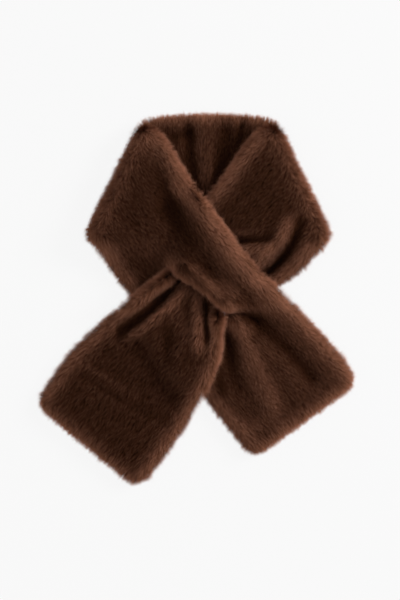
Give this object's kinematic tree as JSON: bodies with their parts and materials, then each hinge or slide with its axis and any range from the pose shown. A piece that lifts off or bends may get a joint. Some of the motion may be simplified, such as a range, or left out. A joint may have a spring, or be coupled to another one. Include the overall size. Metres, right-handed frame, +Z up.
{
  "type": "fur collar wrap",
  "caption": "Pull-through neck wrap of long-pile fake fur, one strip with its end drawn through a slit, laid out flat.",
  "frame": {"origin": "on the table top, at the middle of the laid-out wrap's footprint", "axes": "+Z up from the table, +Y towards the stretch behind the neck, +X towards the side whose front goes into the slit"},
  "size_m": [0.3404, 0.3994, 0.0506],
  "materials": {
    "fur": "long-pile fake fur, deep brown, matt with a soft sheen along the nap"
  },
  "bodies": {
    "root": {"neck_back": "fur", "strap_under": "fur", "right_front": "fur", "left_front": "fur", "right_tail": "fur", "left_tail": "fur", "strap_over": "fur"}
  },
  "joints": []
}
